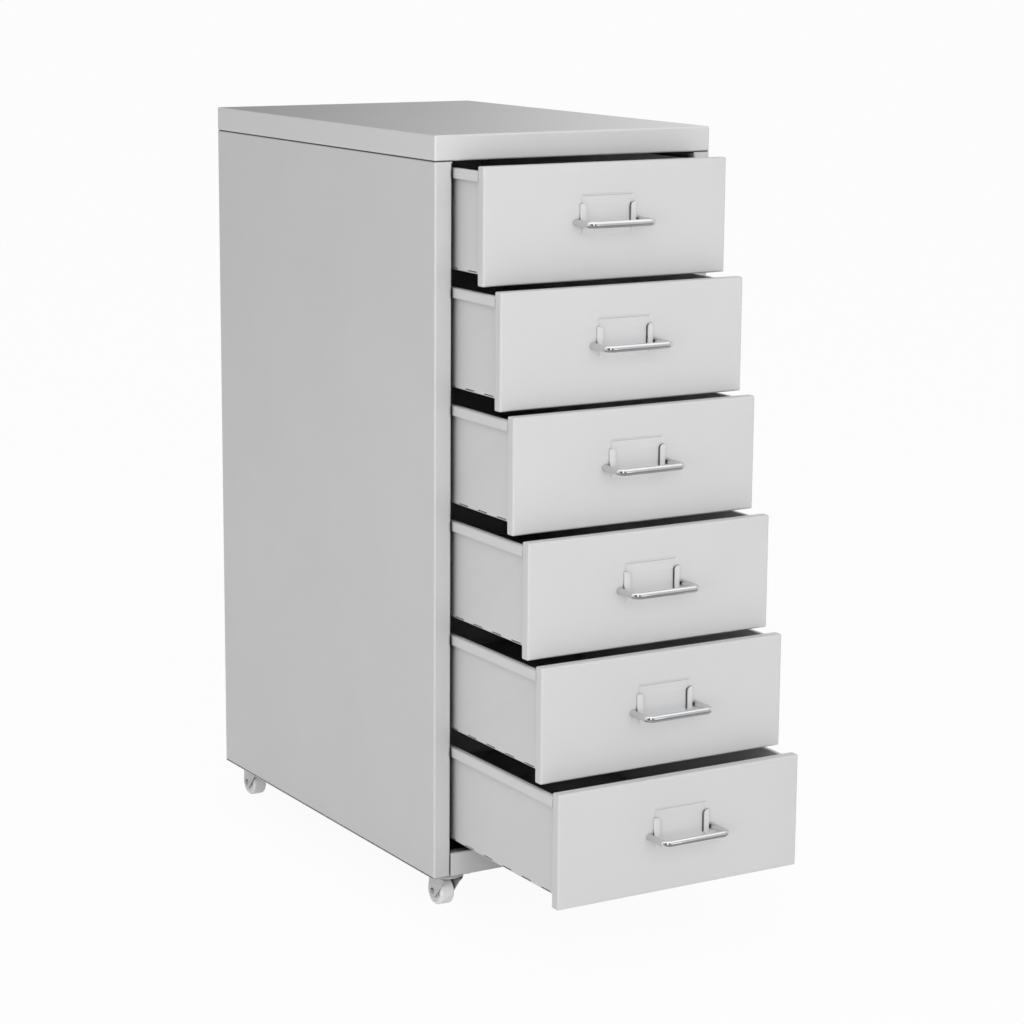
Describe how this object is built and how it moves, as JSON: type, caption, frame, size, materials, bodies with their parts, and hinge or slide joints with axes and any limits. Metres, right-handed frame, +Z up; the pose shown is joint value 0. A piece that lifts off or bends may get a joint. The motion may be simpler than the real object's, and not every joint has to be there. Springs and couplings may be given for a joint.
{
  "type": "drawer cabinet",
  "caption": "Narrow mobile drawer cabinet in light grey folded sheet steel: a stack of label-fronted drawers with wire handles, on swivel casters.",
  "frame": {"origin": "on the floor, under the middle of the outline of the cabinet with its drawers standing open as stored", "axes": "+Z up, the drawers open towards -Y, X across the drawer fronts"},
  "size_m": [0.28, 0.6396, 0.69],
  "materials": {
    "case_paint": "light grey powder coat, satin",
    "lid_paint": "light grey powder coat, satin",
    "drawer_paint": "light grey powder coat, satin",
    "front_paint": "light grey powder coat, satin",
    "runner_steel": "grey powder coat, satin",
    "handle_chrome": "polished",
    "screw_steel": "zinc plated",
    "caster_steel": "light grey powder coat, satin",
    "axle_steel": "zinc plated, bright",
    "wheel_plastic": "moulded, satin"
  },
  "bodies": {
    "cabinet": {"side_panel_left": "case_paint", "side_panel_right": "case_paint", "back_panel": "case_paint", "base_panel": "case_paint", "top_lid": "lid_paint", "runner_left_1": "runner_steel", "runner_left_2": "runner_steel", "runner_left_3": "runner_steel", "runner_left_4": "runner_steel", "runner_left_5": "runner_steel", "runner_left_6": "runner_steel", "runner_right_1": "runner_steel", "runner_right_2": "runner_steel", "runner_right_3": "runner_steel", "runner_right_4": "runner_steel", "runner_right_5": "runner_steel", "runner_right_6": "runner_steel", "caster_plate_front_left": "caster_steel", "caster_plate_front_right": "caster_steel", "caster_plate_rear_left": "caster_steel", "caster_plate_rear_right": "caster_steel", "caster_kingpins": "axle_steel", "caster_screws": "screw_steel", "case_screws": "screw_steel"},
    "drawer_1": {"drawer_box_1": "drawer_paint", "drawer_front_1": "front_paint", "drawer_handle_1": "handle_chrome", "handle_screws_1": "screw_steel"},
    "drawer_2": {"drawer_box_2": "drawer_paint", "drawer_front_2": "front_paint", "drawer_handle_2": "handle_chrome", "handle_screws_2": "screw_steel"},
    "drawer_3": {"drawer_box_3": "drawer_paint", "drawer_front_3": "front_paint", "drawer_handle_3": "handle_chrome", "handle_screws_3": "screw_steel"},
    "drawer_4": {"drawer_box_4": "drawer_paint", "drawer_front_4": "front_paint", "drawer_handle_4": "handle_chrome", "handle_screws_4": "screw_steel"},
    "drawer_5": {"drawer_box_5": "drawer_paint", "drawer_front_5": "front_paint", "drawer_handle_5": "handle_chrome", "handle_screws_5": "screw_steel"},
    "drawer_6": {"drawer_box_6": "drawer_paint", "drawer_front_6": "front_paint", "drawer_handle_6": "handle_chrome", "handle_screws_6": "screw_steel"},
    "swivel_front_left": {"caster_fork_front_left": "caster_steel", "caster_axle_front_left": "axle_steel"},
    "wheel_front_left": {"caster_wheel_front_left": "wheel_plastic"},
    "swivel_front_right": {"caster_fork_front_right": "caster_steel", "caster_axle_front_right": "axle_steel"},
    "wheel_front_right": {"caster_wheel_front_right": "wheel_plastic"},
    "swivel_rear_left": {"caster_fork_rear_left": "caster_steel", "caster_axle_rear_left": "axle_steel"},
    "wheel_rear_left": {"caster_wheel_rear_left": "wheel_plastic"},
    "swivel_rear_right": {"caster_fork_rear_right": "caster_steel", "caster_axle_rear_right": "axle_steel"},
    "wheel_rear_right": {"caster_wheel_rear_right": "wheel_plastic"}
  },
  "joints": [
    {"name": "drawer_1_slide", "type": "slide", "parent": "cabinet", "child": "drawer_1", "axis": [0, -1, 0], "range_m": [-0.0515, 0.2585]},
    {"name": "drawer_2_slide", "type": "slide", "parent": "cabinet", "child": "drawer_2", "axis": [0, -1, 0], "range_m": [-0.0805, 0.2295]},
    {"name": "drawer_3_slide", "type": "slide", "parent": "cabinet", "child": "drawer_3", "axis": [0, -1, 0], "range_m": [-0.1025, 0.2075]},
    {"name": "drawer_4_slide", "type": "slide", "parent": "cabinet", "child": "drawer_4", "axis": [0, -1, 0], "range_m": [-0.128, 0.182]},
    {"name": "drawer_5_slide", "type": "slide", "parent": "cabinet", "child": "drawer_5", "axis": [0, -1, 0], "range_m": [-0.151, 0.159]},
    {"name": "drawer_6_slide", "type": "slide", "parent": "cabinet", "child": "drawer_6", "axis": [0, -1, 0], "range_m": [-0.1795, 0.1305]},
    {"name": "swivel_front_left_turn", "type": "hinge", "parent": "cabinet", "child": "swivel_front_left", "pos_m": [-0.115, -0.08935, 0.03], "axis": [0, 0, 1], "continuous": true},
    {"name": "wheel_front_left_roll", "type": "hinge", "parent": "swivel_front_left", "child": "wheel_front_left", "pos_m": [-0.115, -0.08085, 0.013], "axis": [1, 0, 0], "continuous": true},
    {"name": "swivel_front_right_turn", "type": "hinge", "parent": "cabinet", "child": "swivel_front_right", "pos_m": [0.115, -0.08935, 0.03], "axis": [0, 0, 1], "continuous": true},
    {"name": "wheel_front_right_roll", "type": "hinge", "parent": "swivel_front_right", "child": "wheel_front_right", "pos_m": [0.115, -0.08085, 0.013], "axis": [1, 0, 0], "continuous": true},
    {"name": "swivel_rear_left_turn", "type": "hinge", "parent": "cabinet", "child": "swivel_rear_left", "pos_m": [-0.115, 0.29465, 0.03], "axis": [0, 0, 1], "continuous": true},
    {"name": "wheel_rear_left_roll", "type": "hinge", "parent": "swivel_rear_left", "child": "wheel_rear_left", "pos_m": [-0.115, 0.30315, 0.013], "axis": [1, 0, 0], "continuous": true},
    {"name": "swivel_rear_right_turn", "type": "hinge", "parent": "cabinet", "child": "swivel_rear_right", "pos_m": [0.115, 0.29465, 0.03], "axis": [0, 0, 1], "continuous": true},
    {"name": "wheel_rear_right_roll", "type": "hinge", "parent": "swivel_rear_right", "child": "wheel_rear_right", "pos_m": [0.115, 0.30315, 0.013], "axis": [1, 0, 0], "continuous": true}
  ]
}
